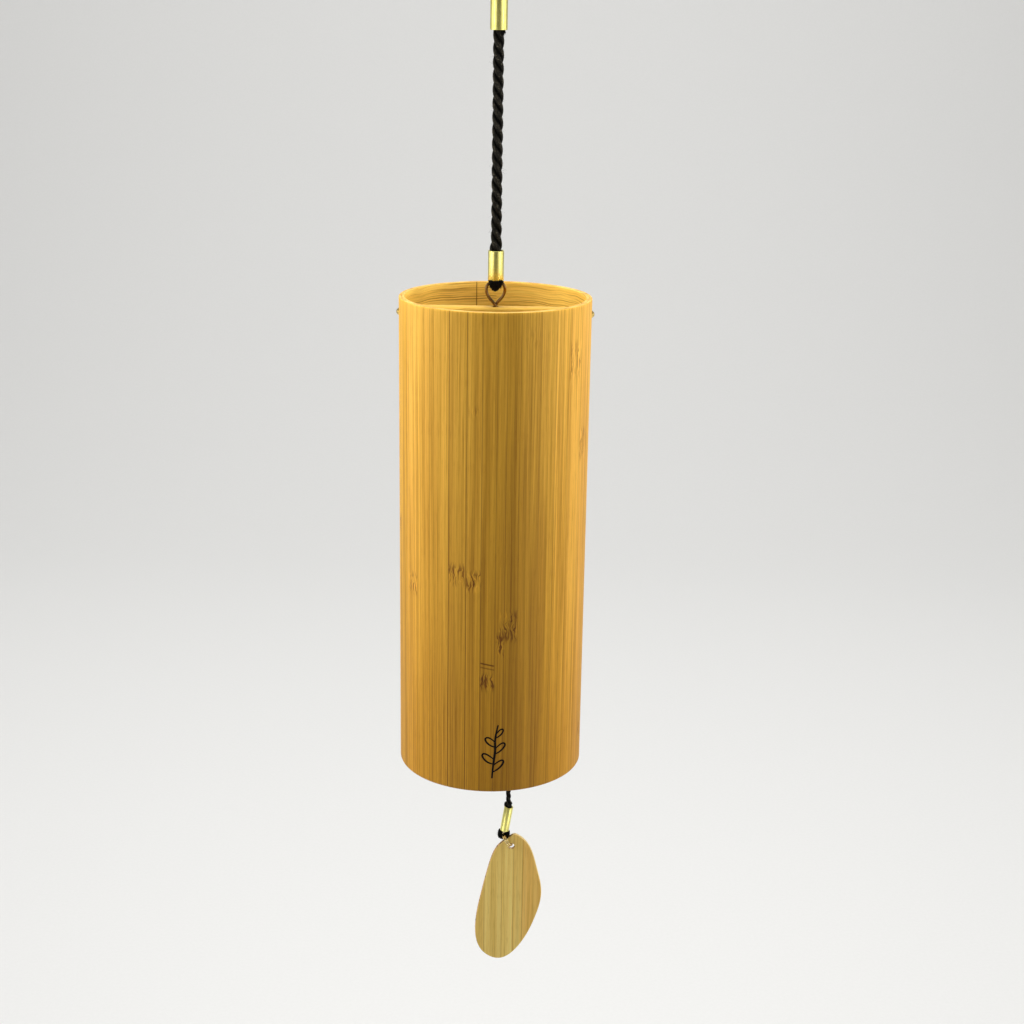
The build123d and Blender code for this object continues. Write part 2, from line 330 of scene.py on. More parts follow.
def bamboo(paint, across, along, light, mid, dark, lines):
    """Bamboo colour and relief from coordinates in millimetres across and along the grain."""
    broad = fibres(paint, across, along, 2.6, 170.0)
    middle = fibres(paint, across, along, 0.75, 80.0)
    mixed = paint.mean(broad, middle)
    colour = paint.ramp(mixed, [(0.38, dark), (0.5, mid), (0.61, light)])
    # Vessels show as thin dark lines, and the pith between them as thin pale ones
    fine = fibres(paint, across, along, 0.42, 55.0, 0.5)
    dense = paint.remap(fibres(paint, across, along, 4.2, 240.0), 0.38, 0.62, 0.35, 1.0)
    vessels = paint.times(paint.remap(fine, 0.53, 0.66, 0.0, lines), dense)
    colour = paint.stain(vessels, colour, (0.58, 0.48, 0.26))
    pith = paint.remap(fine, 0.46, 0.33, 0.0, lines * 0.7)
    colour = paint.stain(pith, colour, (1.22, 1.22, 1.3))
    # Short brown dashes lie among them
    dashes = paint.remap(fibres(paint, across, along, 0.38, 6.0), 0.52, 0.68, 0.0, 0.5)
    colour = paint.stain(dashes, colour, (0.76, 0.70, 0.56))
    relief = paint.minus(mixed, paint.times(vessels, 0.6))
    return colour, relief, fine


SCARS = ((-117.5, 0.95), (-118.9, 0.6))  # height from the rim in millimetres, and strength


def outer_bamboo():
    """The outer ply: upright strips with tones partly their own and partly painted light, thin
    dark joints and node marks.
    """
    paint = Paint("outer_bamboo", Roughness=0.5, Specular_IOR_Level=0.25)
    angle, height = paint.grain()
    across = paint.times(angle, radians(1) * tube_radius / MM)
    tone, seam, knot = paint.stored("tone"), paint.stored("seam"), paint.stored("knot")
    shifted = paint.plus(across, paint.times(tone, 37.0))
    # The fibres bend round a node
    bend = paint.minus(fibres(paint, shifted, height, 2.8, 4.6, 0.55, 2.0), 0.5)
    bend = paint.times(paint.times(bend, knot), 4.0)
    bent = paint.plus(shifted, bend)
    light, mid, dark = (0.98, 0.57, 0.090), (0.82, 0.455, 0.062), (0.60, 0.31, 0.034)
    colour, relief, fine = bamboo(paint, bent, height, light, mid, dark, 0.62)
    # The strips differ in tone: below 0.5 darker and more olive, above it paler and warmer. On the
    # front this is partly painted light, darker in the middle and paler towards the sides.
    tints = [(0.0, (0.50, 0.47, 0.14)), (0.5, (0.98, 0.98, 0.92)), (1.0, (1.22, 1.18, 2.1))]
    strip = paint.ramp(tone, tints)
    colour = paint.stain(1.0, colour, strip)
    # Painted shade: the tube turns darker and more amber towards its foot, where less light falls
    foot = paint.remap(height, -165.0, 0.0, 1.0, 0.0)
    colour = paint.stain(foot, colour, (0.72, 0.62, 0.24))
    # Squiggled dark fibres at the nodes, with a paler zone below them: a painted highlight on the
    # bent fibres
    wavy = fibres(paint, bent, height, 0.7, 8.0, 0.5, 1.0, 0.2)
    strokes = paint.times(paint.remap(wavy, 0.52, 0.585), knot)
    colour = paint.stain(strokes, colour, (0.36, 0.25, 0.13))
    gleam = paint.times(paint.remap(wavy, 0.46, 0.36, 0.0, 0.8), knot)
    colour = paint.stain(gleam, colour, (1.3, 1.28, 1.35))
    # Two slanted scars lie over the lowest node
    slanted = paint.plus(height, paint.times(angle, 0.11))
    from_middle = paint.calc("ABSOLUTE", paint.plus(angle, 1.6))
    within = paint.remap(from_middle, 3.6, 4.6, 1.0, 0.0)
    for level, weight in SCARS:
        off = paint.calc("ABSOLUTE", paint.minus(slanted, level))
        scar = paint.times(paint.remap(off, 0.12, 0.4, weight, 0.0), within)
        colour = paint.stain(scar, colour, (0.30, 0.20, 0.09))
    colour = paint.stain(seam, colour, (0.20, 0.13, 0.06))
    paint.rough(paint.remap(fine, 0.3, 0.7, 0.46, 0.6))
    return paint.finish(colour, paint.minus(relief, strokes), 0.4, 0.00012)


def inner_bamboo():
    """The inner ply, with its grain round the tube."""
    paint = Paint("inner_bamboo", Roughness=0.55, Specular_IOR_Level=0.25)
    angle, height = paint.grain()
    along = paint.times(angle, radians(1) * tube_radius / MM)
    drift = fibres(paint, along, height, 14.0, 30.0, 0.55, 1.0)
    wavy = paint.plus(height, paint.times(drift, 2.0))
    light, mid, dark = (1.0, 0.66, 0.13), (0.96, 0.58, 0.10), (0.76, 0.44, 0.06)
    colour, relief, _ = bamboo(paint, wavy, along, light, mid, dark, 0.45)
    lines = paint.remap(fibres(paint, wavy, along, 0.42, 34.0, 0.4), 0.54, 0.66, 0.0, 0.75)
    colour = paint.stain(lines, colour, (0.42, 0.30, 0.14))
    colour = paint.stain(paint.stored("seam"), colour, (0.22, 0.14, 0.08))
    return paint.finish(colour, paint.minus(relief, lines), 0.4, 0.00014)


def end_grain():
    """The sanded edge of the plies at the rim."""
    paint = Paint("rim_bamboo", Roughness=0.6, Specular_IOR_Level=0.2)
    dots = paint.noise(paint.spot(), 3600.0, 2.0, 0.6)
    patches = paint.noise(paint.spot(), 240.0, 2.0, 0.5)
    mixed = paint.mean(dots, patches)
    light, mid, dark = (0.74, 0.46, 0.13), (0.60, 0.355, 0.085), (0.42, 0.23, 0.048)
    colour = paint.ramp(mixed, [(0.38, dark), (0.5, mid), (0.62, light)])
    return paint.finish(colour, dots, 0.3, 0.0001)


def bar_bamboo():
    """The crossbar: warm bamboo with its grain from end to end."""
    paint = Paint("bar_bamboo", Roughness=0.5, Specular_IOR_Level=0.25)
    x, y, z = paint.place_mm()
    across = paint.plus(y, paint.times(z, 0.83))
    light, mid, dark = (0.68, 0.43, 0.080), (0.58, 0.355, 0.060), (0.47, 0.275, 0.040)
    colour, relief, _ = bamboo(paint, across, x, light, mid, dark, 0.4)
    flecks = paint.noise(paint.join(paint.over(x, 4.5), across), 1.1, 2.0, 0.5, 0.6)
    flecks = paint.remap(flecks, 0.55, 0.68, 0.0, 0.7)
    colour = paint.stain(flecks, colour, (0.80, 0.62, 0.42))
    return paint.finish(colour, relief, 0.35, 0.0001)


# The leaf's strips from the left, each with its left edge in mm: tan, pale, palest, tan and warm
LEAF_TINT = (0.93, 0.91, 0.84)
LEAF_STRIPS = (
    (-1.5, (0.98, 0.99, 0.96)),
    (4.9, (1.04, 1.08, 1.12)),
    (9.1, (0.95, 0.93, 0.86)),
    (12.4, (0.97, 0.86, 0.74)),
)


def leaf_bamboo():
    """The leaf: thin pale veneer in upright strips, with a singed edge on its left side."""
    paint = Paint("leaf_bamboo", Roughness=0.5, Specular_IOR_Level=0.25)
    x, y, z = paint.place_mm()
    light, mid, dark = (1.0, 0.77, 0.26), (0.98, 0.70, 0.20), (0.80, 0.53, 0.12)
    colour, relief, _ = bamboo(paint, paint.plus(x, 61.0), z, light, mid, dark, 0.35)
    tint = LEAF_TINT
    for edge, shade in LEAF_STRIPS:
        tint = paint.blend(paint.remap(x, edge - 0.06, edge + 0.06), tint, shade)
    colour = paint.stain(1.0, colour, tint)
    for edge, _ in LEAF_STRIPS:
        off = paint.calc("ABSOLUTE", paint.minus(x, edge))
        joint = paint.remap(off, 0.06, 0.2, 0.5, 0.0)
        colour = paint.stain(joint, colour, (0.50, 0.36, 0.20))
    # The cut edge is painted pale at the top and right as a highlight, and is pinkish with small
    # burns at the left
    normal = paint.node("TexCoord", {}, output=1)
    split = paint.node("SeparateXYZ", {0: normal}).node
    face = paint.calc("ABSOLUTE", split.outputs[1])
    rim = paint.remap(face, 0.93, 0.55)
    leftward = paint.remap(split.outputs[0], -0.25, -0.6)
    # A painted highlight on the cut edges that do not face left
    pale = paint.blend(paint.times(rim, 0.8), colour, (1.0, 0.80, 0.38))
    burns = paint.noise(paint.join(0.0, y, z), 1.15, 1.0, 0.5)
    burns = paint.remap(burns, 0.55, 0.62)
    charred = paint.blend(burns, (0.72, 0.42, 0.18), (0.10, 0.04, 0.015))
    singed = paint.blend(rim, colour, charred)
    colour = paint.blend(leftward, pale, singed)
    return paint.finish(colour, relief, 0.35, 0.0001)


def brass(name, base, rough, streak_mm):
    """Drawn brass with fine marks along its length and a little tarnish."""
    paint = Paint(name, Metallic=1.0)
    x, y, z = paint.place_mm()
    side, deep = paint.over(x, 0.25), paint.over(y, 0.25)
    streak = paint.join(side, deep, paint.over(z, streak_mm))
    marks = paint.noise(streak, 1.0, 3.0, 0.6)
    cloud = paint.noise(paint.join(x, y, z), 0.9, 2.0, 0.5)
    dull = tuple(c * k for c, k in zip(base, (0.90, 0.86, 0.74)))
    colour = paint.blend(paint.remap(cloud, 0.4, 0.75, 0.0, 0.7), base, dull)
    paint.rough(paint.remap(marks, 0.3, 0.7, rough - 0.06, rough + 0.08))
    return paint.finish(colour, marks, 0.12, 0.00003)


def steel(name, base, rough, turned):
    """Bright steel: turned in rings for the plate, ground along its length for a tine."""
    paint = Paint(name, Metallic=1.0)
    x, y, z = paint.place_mm()
    if turned:
        reach = paint.calc("SQRT", paint.plus(paint.times(x, x), paint.times(y, y)))
        spot = paint.join(paint.times(reach, 5.0), 0.0)
    else:
        spot = paint.join(x, y, paint.times(z, 6.0))
    marks = paint.noise(spot, 1.0, 4.0, 0.7)
    cloud = paint.remap(paint.noise(paint.join(x, y, z), 0.35, 3.0, 0.6), 0.45, 0.7, 0.0, 0.8)
    stained = tuple(c * 0.72 for c in base)
    paint.rough(paint.remap(marks, 0.3, 0.7, rough - 0.07, rough + 0.1))
    return paint.finish(paint.blend(cloud, base, stained), marks, 0.15, 0.00003)


def cord_black():
    """Black twisted cord. The yarns run at a slant round each strand."""
    sheen = {"Sheen_Weight": 0.015, "Sheen_Roughness": 0.4, "Sheen_Tint": (0.75, 0.72, 0.62)}
    paint = Paint("black_cord", Roughness=0.62, Specular_IOR_Level=0.1, **sheen)
    around, along = paint.grain()
    slanted = paint.plus(around, paint.times(along, 0.45))
    spot = paint.join(paint.times(slanted, 9.0), paint.times(along, 1.3))
    yarn = paint.noise(spot, 1.0, 3.0, 0.65)
    patches = paint.noise(paint.join(around, along), 0.9, 2.0, 0.5)
    mixed = paint.plus(paint.times(yarn, 0.75), paint.times(patches, 0.25))
    # The palest stop is partly paler yarn and partly painted highlight streaks along the yarns
    black, dull, pale_yarn_and_highlight = (0.001, 0.001, 0.001), (0.005, 0.0047, 0.0037), (0.100, 0.087, 0.060)
    colour = paint.ramp(mixed, [(0.38, black), (0.55, dull), (0.68, pale_yarn_and_highlight)])
    # Painted light: a strand's outward side is painted paler as a highlight, and the grooves
    # between strands are painted black as shade
    painted_ridge_light_and_groove_shade = paint.remap(paint.stored("tone"), 0.68, 1.0, 0.3, 3.0)
    colour = paint.stain(1.0, colour, painted_ridge_light_and_groove_shade)
    return paint.finish(colour, yarn, 0.8, 0.00012)


def plain(name, base, rough, speckle, depth=0.00002, **sockets):
    """A small part's finish: one colour with a fine speckle in tone, roughness and relief."""
    paint = Paint(name, **sockets)
    dots = paint.noise(paint.spot(), speckle, 3.0, 0.6)
    dark = tuple(c * 0.7 for c in base)
    paint.rough(paint.remap(dots, 0.3, 0.7, rough - 0.05, rough + 0.07))
    return paint.finish(paint.ramp(dots, [(0.35, dark), (0.6, base)]), dots, 0.2, depth)


def clear_acrylic():
    """The striker disc: clear, slightly scuffed on its edge."""
    paint = Paint("clear_disc", Base_Color=(0.97, 0.98, 0.98), IOR=1.49, Transmission_Weight=1.0)
    scuffs = paint.noise(paint.spot(), 900.0, 4.0, 0.7)
    paint.rough(paint.remap(scuffs, 0.5, 0.72, 0.03, 0.22))
    return paint.material


BRASS = (0.93, 0.87, 0.29)
material = {
    "outer": outer_bamboo(),
    "inner": inner_bamboo(),
    "rim": end_grain(),
    "bar": bar_bamboo(),
    "leaf": leaf_bamboo(),
    "ferrule": brass("ferrule_brass", BRASS, 0.27, 4.0),
    "nail": brass("nail_brass", (0.74, 0.56, 0.20), 0.28, 0.5),
    "ring": brass("ring_brass", (0.80, 0.64, 0.30), 0.2, 0.6),
    "wire": brass("bronze_wire", (0.28, 0.16, 0.062), 0.17, 0.8),
    "cord": cord_black(),
    "plate": steel("plate_steel", (0.52, 0.52, 0.50), 0.36, True),
    "tine": steel("tine_steel", (0.70, 0.70, 0.69), 0.24, False),
    "braze": plain("silver_braze", (0.75, 0.70, 0.55), 0.4, 1800.0, Metallic=1.0),
    "disc": clear_acrylic(),
    "ink": plain("black_ink", (0.004, 0.003, 0.003), 0.7, 2500.0, Specular_IOR_Level=0.1),
}

# Cords

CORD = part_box("hanging_cord")[1].x * 2
THIN_CORD = 1.8 * MM
CORD_LAY = 12.6 * MM
THIN_LAY = 7.0 * MM
HAND = -1  # the strands climb to the left
STRANDS = 3
YARNS = 6
SIDES = 30


def ways_round(way, angle):
    """The ways outward from a cord's line at an angle, and onward round the line."""
    across = way.cross(SIDE).normalized()
    out = SIDE * cos(angle) + across * sin(angle)
    return out, across * cos(angle) - SIDE * sin(angle)


def strand_ring(line, s, angle, offset, tall, wide, lay, yarn_turn):
    """One ring of a strand: tall is its half size outward from the cord's line, wide across."""
    centre, way = line.at(s), line.way(s)
    out, round_way = ways_round(way, angle)
    forward = (way + round_way * (HAND * offset * 2 * pi / lay)).normalized()
    beside = forward.cross(out).normalized()
    ring = []
    for j in range(SIDES):
        a = 2 * pi * j / SIDES
        lobe = 0.92 + 0.08 * abs(cos(YARNS / 2 * (a + yarn_turn)))
        high, low = offset + tall * lobe * cos(a), wide * lobe * sin(a)
        ring.append(centre + out * high + beside * low)
    return ring


def rope(name, line, diameter, lay, swell=lambda s: 1.0):
    """Three twisted strands along a line. swell(s) widens the rope where it meets a ferrule."""
    shell = Shell()
    step = diameter / 10
    tall, wide = diameter * 0.24, diameter * 0.25
    outward = [0.5 + 0.5 * cos(2 * pi * (j + 0.5) / SIDES) for j in range(SIDES)]
    for k in range(STRANDS):
        rings = []
        for i in range(int(line.length / step) + 1):
            s = i * step
            size = swell(s)
            angle = 2 * pi * (k / STRANDS + HAND * s / lay)
            turn = -HAND * 2 * pi * s / (lay * 0.55)
            offset = (diameter / 2 - tall) * size
            rings.append(strand_ring(line, s, angle, offset, tall * size, wide * size, lay, turn))
        shell.add_tube(rings, step / MM, 2 * pi * tall / SIDES / MM, tones=outward)
    return make(name, shell, [material["cord"]])


def add_yarn(shell, line, radius, sides, wobble, seed):
    """A round yarn along a line, a little uneven."""
    draw = random.Random(seed)
    phase = draw.uniform(0, 6.28)
    step = radius / 2.2
    rings = []
    for i in range(int(line.length / step) + 1):
        s = i * step
        centre, way = line.at(s), line.way(s, 0.1 * MM)
        first = way.cross(Vector((0.31, 0.53, 0.79))).normalized()
        second = way.cross(first)
        size = radius * (1 + wobble * sin(phase + 5.1 * i / sides))
        ring = []
        for j in range(sides):
            a = 2 * pi * j / sides
            lobe = 0.93 + 0.07 * abs(cos(2 * a + 0.35 * i + phase))
            ring.append(centre + (first * cos(a) + second * sin(a)) * size * lobe)
        rings.append(ring)
    shell.add_tube(rings, step / MM, 2 * pi * radius / sides / MM)


HAIR_STEPS = 4


def any_way(draw):
    """A random direction."""
    return Vector([draw.uniform(-1, 1) for _ in range(3)]).normalized()


def add_hair(shell, root, way, length, curl, thickness):
    """A loose fibre: a thin tapering prism that curls."""
    bend = way.cross(curl).normalized()
    rings = []
    point, heading = root.copy(), way.normalized()
    for i in range(HAIR_STEPS + 1):
        size = thickness * (1 - 0.16 * i)
        other = heading.cross(bend).normalized()
        rings.append(circle(point, bend, other, size, 3))
        heading = (heading + curl * 0.35).normalized()
        point = point + heading * (length / HAIR_STEPS)
    shell.add_tube(rings, 1.0)


def fuzz(name, line, radius, count, seed, start, end, longest=2.2):
    """Loose fibres all over a cord. longest is in millimetres."""
    draw = random.Random(seed)
    shell = Shell()
    for _ in range(count):
        s = draw.uniform(start, end)
        angle = draw.uniform(0, 2 * pi)
        way = line.way(s)
        out, round_way = ways_round(way, angle)
        heading = out * draw.uniform(0.15, 0.7)
        heading += way * draw.choice((-1, 1)) * draw.uniform(0.3, 1.0)
        heading += round_way * draw.uniform(-0.6, 0.6)
        length = draw.uniform(0.5, 1.0) ** 2 * longest * MM
        curl = (out * draw.uniform(-1.0, 0.4) + round_way * draw.uniform(-1, 1)).normalized()
        thickness = draw.uniform(0.012, 0.022) * MM
        add_hair(shell, line.at(s) + out * radius * 0.88, heading, length, curl, thickness)
    return make(name, shell, [material["cord"]])


# Each route repeats the points of its CAD cord
LOOP_ROUTE_MM = [
    (0.5, 0, -37.5),
    (0.8, 0, -33.5),
    (9.6, 0, -19.0),
    (9.6, 0, -6.2),
    (5.0, 0, 1.8),
    (-5.0, 0, 1.8),
    (-9.6, 0, -6.2),
    (-9.6, 0, -19.0),
    (-0.8, 0, -33.5),
    (-0.5, 0, -37.5),
]
mouth = pivot["cord_swing"]
eye_top = pivot["cord_twist"]
cord_low, cord_high = (Vector((0, 0, corner.z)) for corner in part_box("hanging_cord"))
near = UP * 6 * CORD
lower_wire = pivot["striker_rock"]
striker_top = pivot["striker_swing"]
chain_way = (striker_top - lower_wire).normalized()
sail_top = pivot["sail_cord_swing"]
sail_end = pivot["sail_twist"]
ring_wire = pivot["ring_swing"]
ferrule_way = (ring_wire - sail_end).normalized()
thin_near = chain_way * 6 * THIN_CORD
KNOT_HEIGHT = 4.8 * MM
KNOT_GAP = 5.1 * MM  # the disc is between the knots
lower_knot = sail_top - chain_way * 1.6 * MM
upper_knot = lower_knot - chain_way * (KNOT_HEIGHT + KNOT_GAP)

loop_line = Line("loop_line", [Vector(p) * MM for p in LOOP_ROUTE_MM])
cord_line = Line("cord_line", [cord_high, mouth - near, eye_top + near, cord_low])
TUCKED = 0.9 * MM  # how far a thin cord's upper end is hidden
striker_route = [striker_top - chain_way * TUCKED, striker_top + thin_near, lower_knot - thin_near]
striker_line = Line("striker_line", [*striker_route, lower_knot])
sail_start = sail_top - chain_way * TUCKED
inside = sail_end + ferrule_way * 2.4 * MM
sail_route = [sail_start, sail_top + thin_near, sail_end - thin_near, sail_end, inside]
sail_line = Line("sail_line", sail_route)


def into_eye(s):
    """The cord fattens just above the eye ferrule, and is squeezed inside it."""
    past = s - (cord_high.z - eye_top.z)
    fat = smoothstep(-3.5 * MM, -0.5 * MM, past)
    return 1 + 0.2 * fat - 0.14 * smoothstep(-0.4 * MM, 0.3 * MM, past)


def into_sail_ferrule(s):
    """The thin cord splays into a bead on the small ferrule's edge, and is squeezed inside it."""
    past = s - (sail_end - sail_start).length
    splay = smoothstep(-1.9 * MM, -1.1 * MM, past)
    return 1 + 0.75 * splay - 0.72 * smoothstep(-0.5 * MM, 0.1 * MM, past)


loop_cord = rope("loop_cord", loop_line, CORD, CORD_LAY)
hanging_rope = rope("hanging_rope", cord_line, CORD, CORD_LAY, into_eye)
striker_rope = rope("striker_rope", striker_line, THIN_CORD, THIN_LAY)
sail_rope = rope("sail_rope", sail_line, THIN_CORD, THIN_LAY, into_sail_ferrule)
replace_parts(loop_cord, "hanging_loop")
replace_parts(hanging_rope, "hanging_cord")
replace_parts(striker_rope, "striker_cord")
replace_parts(sail_rope, "sail_cord")
THICK, THIN = CORD / 2, THIN_CORD / 2
THIN_FUZZ = 1.3  # the longest fibre in millimetres
loop_end, cord_end = loop_line.length - 3 * MM, cord_line.length - 4 * MM
sail_fuzz_end = sail_line.length - 3 * MM
loop_fuzz = fuzz("loop_fuzz", loop_line, THICK, 420, 11, 3 * MM, loop_end)
cord_fuzz = fuzz("cord_fuzz", cord_line, THICK, 420, 12, 2 * MM, cord_end)
sail_fuzz = fuzz("sail_fuzz", sail_line, THIN, 260, 13, 3 * MM, sail_fuzz_end, THIN_FUZZ)
striker_fuzz = fuzz(
    "striker_fuzz", striker_line, THIN, 60, 14, 2 * MM, striker_line.length, THIN_FUZZ
)
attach(loop_cord, "hanger")
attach(loop_fuzz, "hanger")


def tail():
    """The cord's cut end yarns, which stand out of the upper ferrule's mouth on its right."""
    shell = Shell()
    draw = random.Random(40)
    for k in range(9):
        a = radians(40 + 13 * k)
        reach = 1.65 - 0.35 * (k % 2)  # two staggered rows
        end = draw.uniform(0.9, 1.9)
        points = []
        for drop, spread in ((-1.4, 1.0), (-0.4, 1.0), (0.4, 1.08), (end, 1.16)):
            out = Vector((sin(a), cos(a), 0)) * reach * spread
            points.append(mouth + (out - UP * drop) * MM)
        line = Line("tail_line", points)
        add_yarn(shell, line, 0.36 * MM, 12, 0.08, k)
        for _ in range(3):
            stray = Vector([draw.uniform(-0.6, 0.6) for _ in range(3)])
            way = (line.way(line.length) + stray).normalized()
            curl = any_way(draw)
            length = draw.uniform(0.3, 0.8) * MM
            add_hair(shell, line.at(line.length), way, length, curl, 0.03 * MM)
    return make("mouth_tail", shell, [material["cord"]])


mouth_tail = tail()
for piece in (hanging_rope, cord_fuzz, mouth_tail):
    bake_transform(piece)
for piece in (striker_rope, striker_fuzz):
    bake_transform(piece)
for piece in (sail_rope, sail_fuzz):
    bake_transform(piece)


BIGHT_YARNS = 5
BIGHT_HAIRS = 22


def bight(
    name, node, body, centre, up, wire_way,
    hole, radius, widths, mouth_height, bore, seed, layers=1, room=0.0,
):
    """Layers of yarns that leave a ferrule, go round a wire and back. Sizes are in millimetres.

    hole: half the space round the wire. radius: a yarn's. widths: of the bight at the mouth and
    round the wire. bore: the ferrule's inner radius. room: more space in front of the wire and
    behind it, inside the first layer, for its swing.
    """
    shell = Shell()
    draw = random.Random(seed)
    through = up.cross(wire_way)
    mouth_width, wrap_width = widths
    for number in range(BIGHT_YARNS * layers):
        layer, k = divmod(number, BIGHT_YARNS)
        middle = hole + radius * (1 + 1.7 * layer)
        spare = 0.0 if layer else room
        share = 2 * k / (BIGHT_YARNS - 1) - 1  # from -1 to 1 across the bight
        rise = 0.0 if spare else 0.4 * share * share
        crowd = 0.95 if spare else (layer + 1) / layers
        thin = radius * (1 - 0.2 * share * share)
        wide, narrow = share * (mouth_width / 2 - thin), share * (wrap_width / 2 - thin)
        inside = share * (bore - 1.2 * thin) * 0.8
        out = (sqrt(max(bore**2 - inside**2, 0.05)) - 1.1 * thin) * crowd
        slant = 0.3 * thin
        stations = [
            (inside * 0.8, 0.6 * out, mouth_height + 1.4),
            (inside, max(out, 0.2), mouth_height + 0.1),
            (wide + slant, 0.95 * middle + spare, mouth_height - 0.45),
            (wide * 0.55 + narrow * 0.45 + slant, 1.12 * middle + spare, 0.35 * middle),
            (narrow, 0.95 * middle + spare, (rise - 1.08) * middle - 0.4 * spare),
        ]
        front = [(x, -y, z) for x, y, z in stations]
        back = [(x - 2 * slant, y, z) for x, y, z in reversed(stations)]
        ways = [wire_way * x + through * y + up * z for x, y, z in front + back]
        line = Line(name, [centre + way * MM for way in ways])
        add_yarn(shell, line, thin * MM, 18, 0.07, seed + number)
        for _ in range(BIGHT_HAIRS):
            spot = line.at(draw.uniform(0.22, 0.78) * line.length)
            out_way = (spot - centre + up * draw.uniform(-1, 1) * MM).normalized()
            side_way = wire_way * draw.uniform(-1, 1) + up * draw.uniform(-1, 0.3)
            root = spot + out_way * thin * 0.8 * MM
            curl = any_way(draw)
            length = draw.uniform(0.3, 0.9) * MM
            add_hair(shell, root, out_way * 0.5 + side_way, length, curl, 0.02 * MM)
    piece = make(name, shell, [material["cord"]], body)
    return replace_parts(piece, node)


eye_arch = pivot["chime_swing"] + UP * 1.2 * MM
ACROSS = Vector((1, 0, 0))
chain_across = SIDE.cross(chain_way).normalized()
cords_drawn = [
    bight(
        "eye_bight", "eye_cord_loop", "eye_link", eye_arch, UP, ACROSS,
        0.52, 0.66, (5.2, 3.7), 0.55, 2.2, 60, layers=2, room=0.7,
    ),
    bight(
        "striker_bight", "striker_cord_loop", "striker_link", lower_wire, chain_way, chain_across,
        0.55, 0.38, (2.6, 1.8), 1.3, 1.1, 70,
    ),
    bight(
        "sail_bight", "sail_cord_loop", "sail_link", ring_wire, -ferrule_way, SIDE,
        0.52, 0.42, (2.9, 2.7), 1.4, 1.2, 80, layers=2,
    ),
]

# Ferrules and knots

TURNED_SIDES = 80
EDGE_ROUND = 0.16  # a ferrule's outer edge, in millimetres
BORE_BEVEL = 0.12


def tube_profile(outer, inner, length):
    """A tube's section, with rounded outer edges and small bevels inside, as one closed loop."""
    points = []
    for turn, height in ((-90, EDGE_ROUND), (0, length - EDGE_ROUND)):
        for step in range(5):
            a = radians(turn + 22.5 * step)
            reach = outer - EDGE_ROUND + EDGE_ROUND * cos(a)
            points.append((reach, height + EDGE_ROUND * sin(a)))
    points += [(inner + BORE_BEVEL, length), (inner, length - BORE_BEVEL)]
    return points + [(inner, BORE_BEVEL), (inner + BORE_BEVEL, 0.0)]


def add_ferrule(name, node, body, base, axis, outer, inner, length):
    """A turned brass tube that stands on base along its axis. Radii and length in millimetres."""
    shell = Shell()
    first = axis.cross(Vector((0.2, 1, 0.3))).normalized()
    second = axis.cross(first)
    profile = tube_profile(outer, inner, length)
    for radius, height in profile:
        centre = base + axis * height * MM
        shell.verts.extend(circle(centre, first, second, radius * MM, TURNED_SIDES))
    for i in range(len(profile)):
        low, high = i * TURNED_SIDES, (i + 1) % len(profile) * TURNED_SIDES
        for j in range(TURNED_SIDES):
            k = (j + 1) % TURNED_SIDES
            shell.add_face((low + j, low + k, high + k, high + j), [(0, 0)] * 4)
    piece = make(name, shell, [material["ferrule"]], body)
    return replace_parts(piece, node)


upper_low, upper_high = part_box("upper_ferrule")
upper_length = (upper_high.z - upper_low.z) / MM
eye_low, eye_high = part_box("eye_ferrule")
eye_base = Vector((0, 0, eye_low.z)) + UP * 0.4 * MM
eye_length = (eye_high.z - eye_base.z) / MM
striker_base = lower_wire + chain_way * 1.3 * MM
sail_base = ring_wire - ferrule_way * 1.4 * MM
add_ferrule("upper_sleeve", "upper_ferrule", "hanger", mouth, UP, 2.75, 2.35, upper_length)
eye_sleeve = add_ferrule(
    "eye_sleeve", "eye_ferrule", "eye_link", eye_base, UP, 2.6, 2.2, eye_length
)
add_ferrule(
    "striker_sleeve", "striker_ferrule", "striker_link", striker_base, chain_way, 1.5, 1.1, 9.7
)
sail_sleeve = add_ferrule(
    "sail_sleeve", "sail_ferrule", "sail_link", sail_base, -ferrule_way, 1.6, 1.2, 9.6
)
KNOT_POINTS = 96


def knots():
    """The two knots that hold the disc: each a tight trefoil of the thin cord."""
    shell = Shell()
    across = chain_way.cross(SIDE).normalized()
    for centre in (upper_knot, lower_knot):
        turns = []
        for i in range(KNOT_POINTS + 1):
            t = 2 * pi * i / KNOT_POINTS
            reach = 0.92 + 0.56 * cos(3 * t)
            x, y, z = reach * cos(2 * t), reach * sin(2 * t), 0.95 * sin(3 * t)
            turns.append(centre + (SIDE * x + across * y + chain_way * z) * MM)
        rings = []
        befores, afters = turns[-2:-1] + turns[:-1], turns[1:] + turns[1:2]
        for before, point, after in zip(befores, turns, afters):
            way = (after - before).normalized()
            first = way.cross((point - centre).normalized()).normalized()
            second = way.cross(first)
            rings.append(circle(point, first, second, 0.86 * MM, 18))
        shell.add_tube(rings, 0.25, 0.3)
    piece = make("disc_knots", shell, [material["cord"]], "striker")
    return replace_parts(piece, "striker_knots")


disc_knots = knots()

# One bent wire, in mm from the middle of the rim: back leg, upper eye, front leg, lower eye
WIRE_ROUTE_MM = [
    (0.15, 0.6, -12.4),
    (-0.3, 0.6, -4.7),
    (-0.4, 0.6, -3.2),
    (3.25, 0.3, 0.6),
    (2.75, 0, 4.65),
    (-2.75, 0, 4.65),
    (-3.25, -0.3, 0.6),
    (0.45, -0.6, -3.3),
    (0.3, -0.6, -4.8),
    (-0.3, -0.6, -12.8),
    (-2.95, -0.3, -14.4),
    (-2.8, 0, -18.5),
    (2.8, 0, -18.5),
    (2.95, 0.3, -14.4),
    (1.5, 0.6, -13.0),
]
WIRE_RADIUS = 0.5 * MM
WIRE_STEPS = 420


